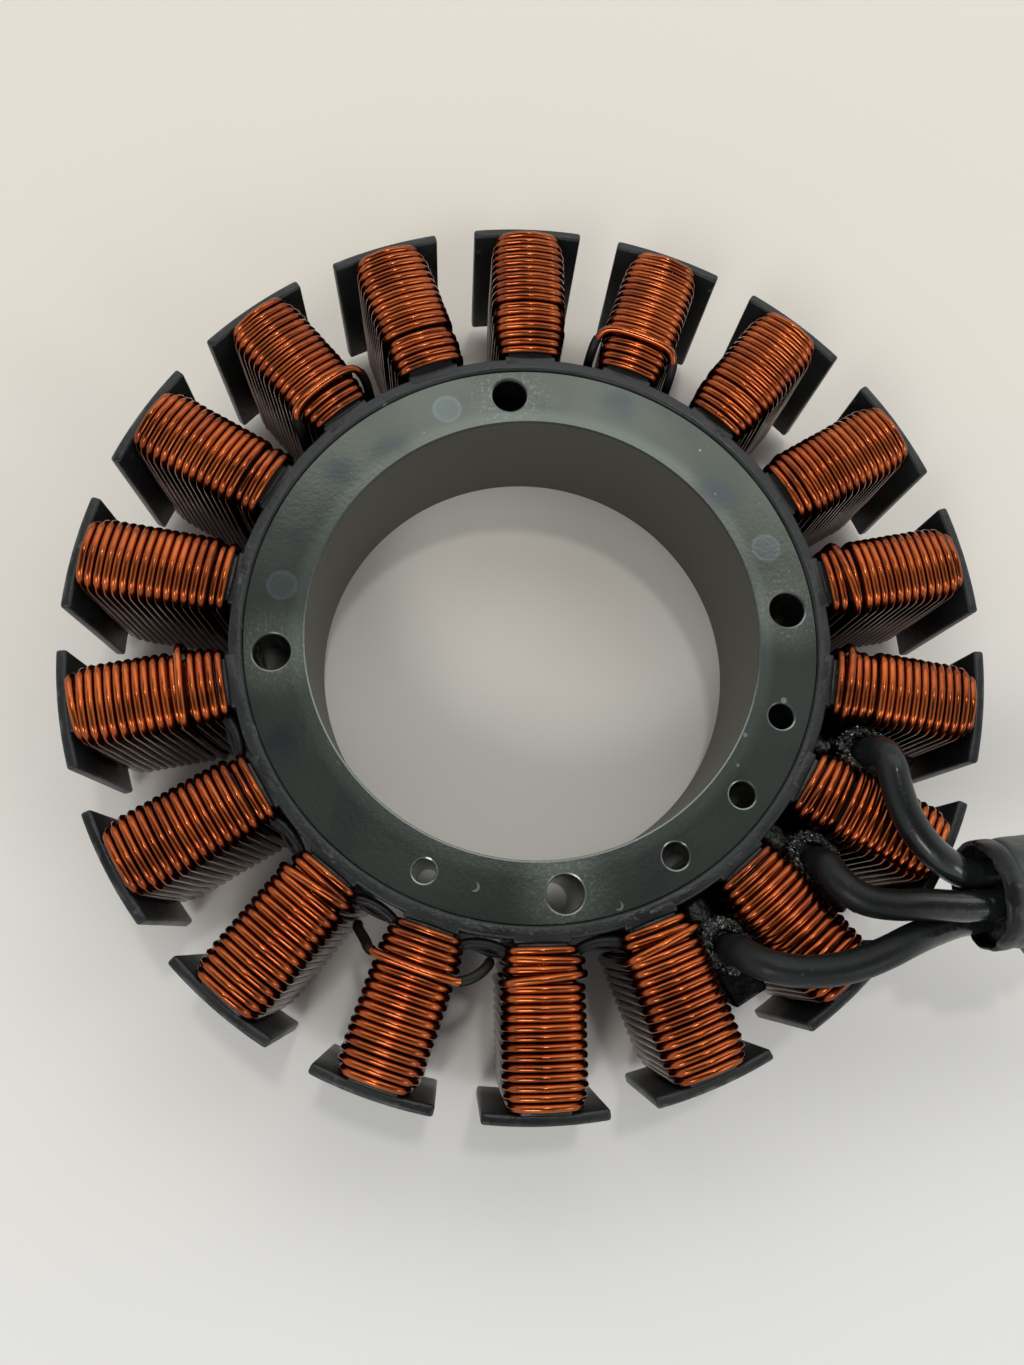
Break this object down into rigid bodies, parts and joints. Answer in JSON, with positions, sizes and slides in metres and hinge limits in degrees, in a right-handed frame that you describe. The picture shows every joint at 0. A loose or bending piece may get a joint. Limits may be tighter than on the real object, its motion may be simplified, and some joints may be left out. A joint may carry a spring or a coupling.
{
  "type": "wound stator",
  "caption": "Wound stator for a small alternator: laminated steel ring with coil-wound outward poles, clamp face with bolt holes, potted leads and a round moulded plug.",
  "frame": {"origin": "centre of the mounting bolt circle on the back clamp face", "axes": "+Z along the bore towards the side where the leads leave; two of the mounting holes lie on X and two on Y; the plug points to +X"},
  "size_m": [0.1533, 0.13, 0.0365],
  "materials": {
    "coated_steel": "satin coat, bare ground clamp faces and bore",
    "enamelled_copper": "glossy enamel",
    "black_epoxy": "granular, glossy",
    "lead_sleeve": "satin",
    "black_sleeving": "varnished",
    "boot_rubber": "satin",
    "plug_moulding": "matt",
    "contact_metal": "bright"
  },
  "bodies": {
    "root": {"back_loom": "black_sleeving", "coil_01": "enamelled_copper", "coil_02": "enamelled_copper", "coil_03": "enamelled_copper", "coil_04": "enamelled_copper", "coil_05": "enamelled_copper", "coil_06": "enamelled_copper", "coil_07": "enamelled_copper", "coil_08": "enamelled_copper", "coil_09": "enamelled_copper", "coil_10": "enamelled_copper", "coil_11": "enamelled_copper", "coil_12": "enamelled_copper", "coil_13": "enamelled_copper", "coil_14": "enamelled_copper", "coil_15": "enamelled_copper", "coil_16": "enamelled_copper", "coil_17": "enamelled_copper", "coil_18": "enamelled_copper", "crossover_02": "enamelled_copper", "crossover_11": "enamelled_copper", "crossover_17": "enamelled_copper", "crossover_sleeves_02": "black_sleeving", "crossover_sleeves_11": "black_sleeving", "crossover_sleeves_17": "black_sleeving", "lead_1": "lead_sleeve", "lead_2": "lead_sleeve", "lead_3": "lead_sleeve", "lead_seal_1": "black_epoxy", "lead_seal_2": "black_epoxy", "lead_seal_3": "black_epoxy", "mouth_glue": "black_epoxy", "plug_body": "plug_moulding", "plug_boot": "boot_rubber", "plug_contact_1": "contact_metal", "plug_contact_2": "contact_metal", "plug_contact_3": "contact_metal", "root_jumper_09_10": "black_sleeving", "root_jumper_10_11": "black_sleeving", "root_jumper_11_12": "black_sleeving", "root_jumper_12_13": "black_sleeving", "root_jumper_13_14": "black_sleeving", "stator_core": "coated_steel"}
  },
  "joints": []
}
